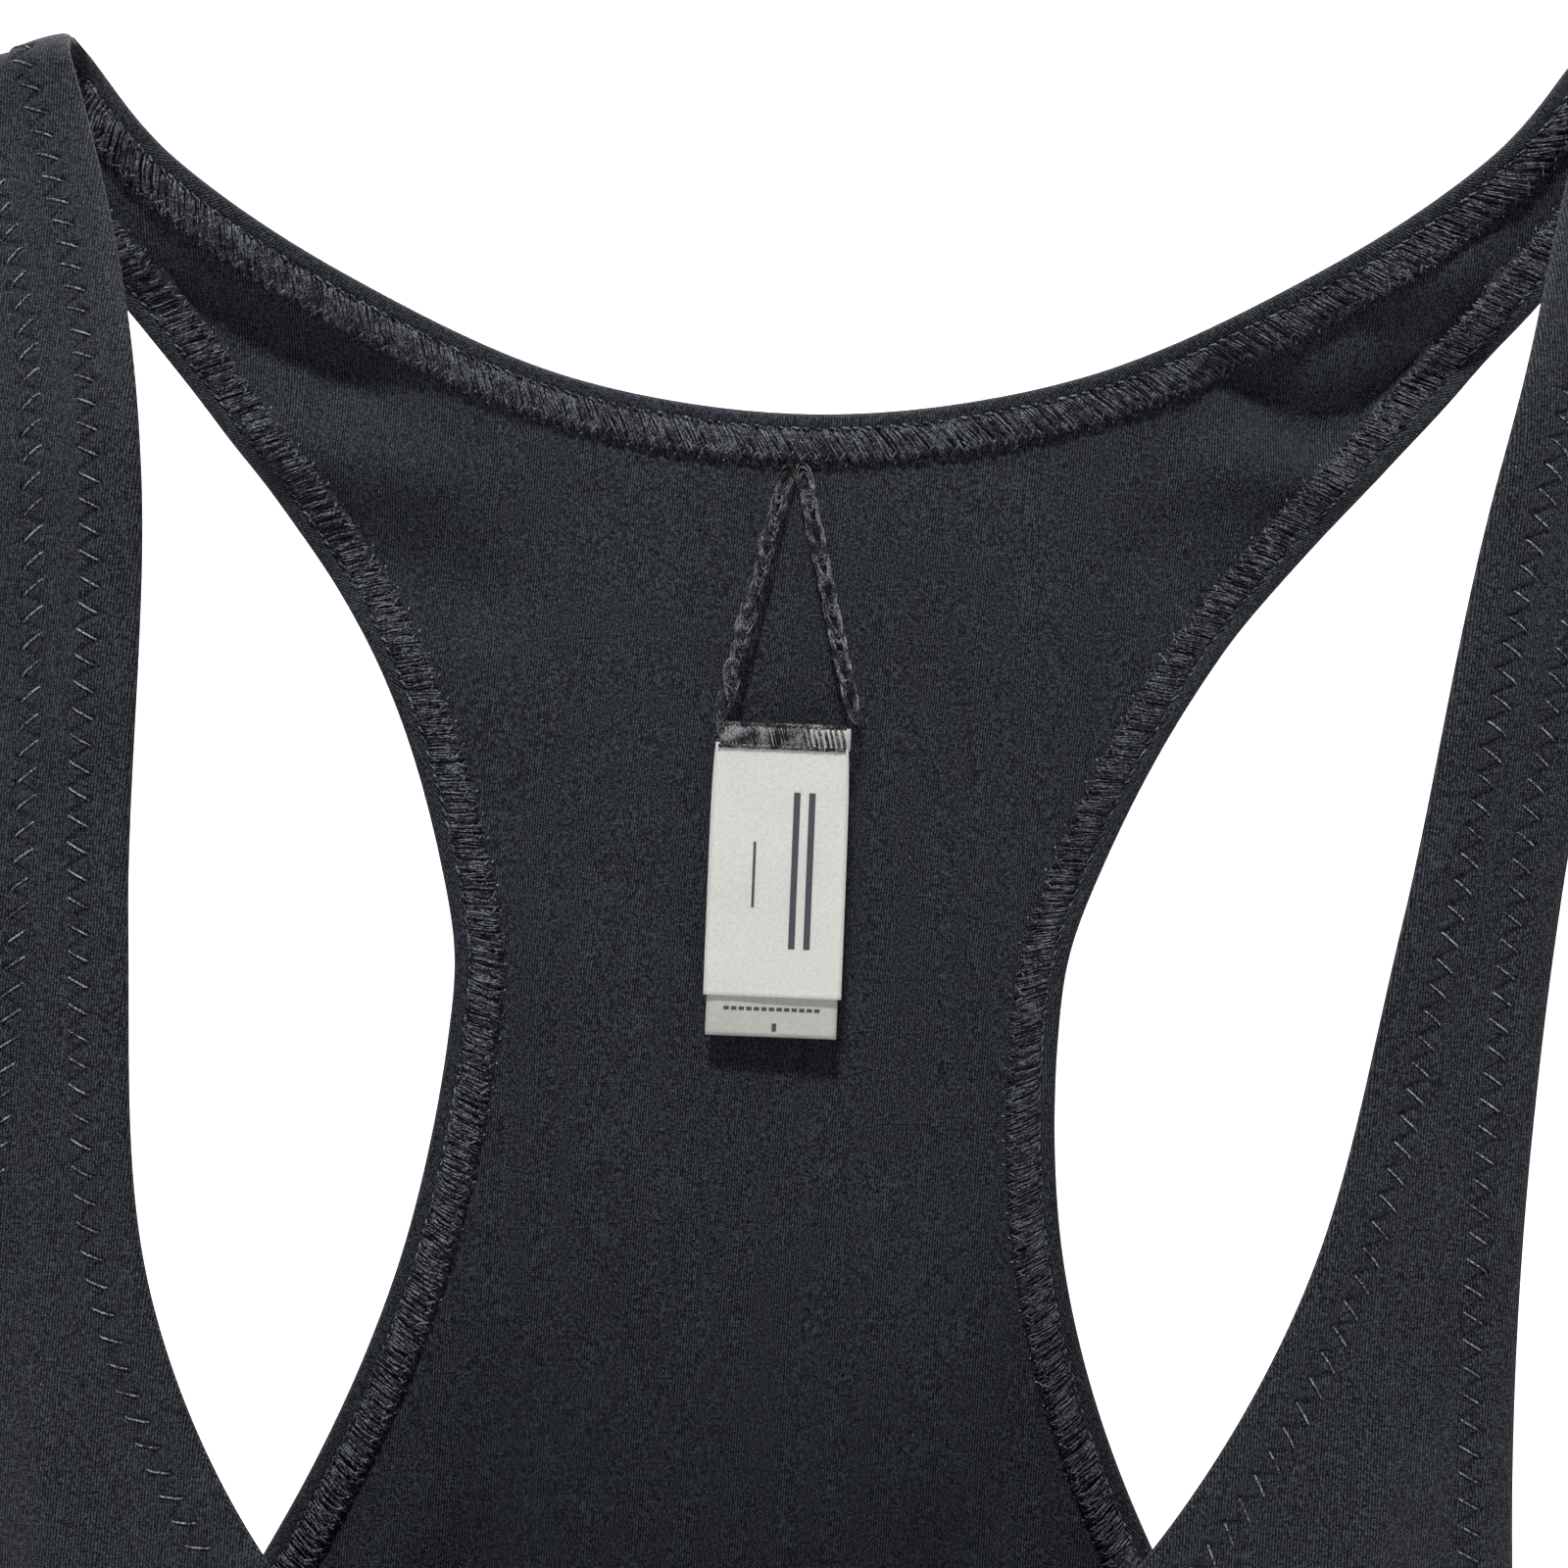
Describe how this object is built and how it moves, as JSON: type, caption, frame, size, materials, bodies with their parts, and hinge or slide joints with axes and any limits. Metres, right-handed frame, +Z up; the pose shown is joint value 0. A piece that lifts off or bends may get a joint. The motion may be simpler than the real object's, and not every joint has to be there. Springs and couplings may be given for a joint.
{
  "type": "gymnastics leotard",
  "caption": "Racerback gymnastics leotard with scooped front, elastic hems at neck, arms and legs, and a swinging care label on thread chains.",
  "frame": {"origin": "midway between the two shoulder folds, at their top, where a hanger carries the garment", "axes": "+X the wearer's left, -Y the front of the garment, +Z up as it hangs"},
  "size_m": [0.3697, 0.0604, 0.7455],
  "materials": {
    "shell_fabric": "charcoal-navy warp knit of nylon and elastane, fine vertical wales, soft dull sheen",
    "lining": "soft plain cotton jersey",
    "elastic": "flat woven-in swim elastic, dull black",
    "overlock_thread": "textured overlock thread, dull charcoal",
    "chain_thread": "chain of black textured thread",
    "label_tape": "white woven tape",
    "label_satin": "thin white satin tape, a little see-through"
  },
  "bodies": {
    "garment": {"back_panel": "shell_fabric", "front_panel": "shell_fabric", "gusset_lining": "lining", "crotch_seam": "overlock_thread", "neck_elastic": "elastic", "neck_overlock": "overlock_thread", "armhole_left_elastic": "elastic", "armhole_left_overlock": "overlock_thread", "armhole_right_elastic": "elastic", "armhole_right_overlock": "overlock_thread", "leg_left_elastic": "elastic", "leg_left_overlock": "overlock_thread", "leg_right_elastic": "elastic", "leg_right_overlock": "overlock_thread", "shoulder_seam_left": "overlock_thread", "shoulder_seam_right": "overlock_thread", "side_seam_left": "overlock_thread", "side_seam_right": "overlock_thread"},
    "label_chains": {"label_chain_left": "chain_thread", "label_chain_right": "chain_thread"},
    "label": {"label_head": "overlock_thread", "label_back_leaf": "label_tape"},
    "front_leaf": {"label_front_leaf": "label_satin"}
  },
  "joints": [
    {"name": "chain_swing", "type": "hinge", "parent": "garment", "child": "label_chains", "pos_m": [-0.00735, 0.027, -0.074], "axis": [-1, 0, 0], "range_deg": [0, 120]},
    {"name": "label_swing", "type": "hinge", "parent": "label_chains", "child": "label", "pos_m": [-0.0098, 0.024, -0.1241], "axis": [-0.9992, 0, 0.0401], "range_deg": [0, 60]},
    {"name": "leaf_lift", "type": "hinge", "parent": "label", "child": "front_leaf", "pos_m": [-0.00999, 0.0236, -0.12885], "axis": [-0.9992, 0, 0.0401], "range_deg": [0, 90]}
  ]
}
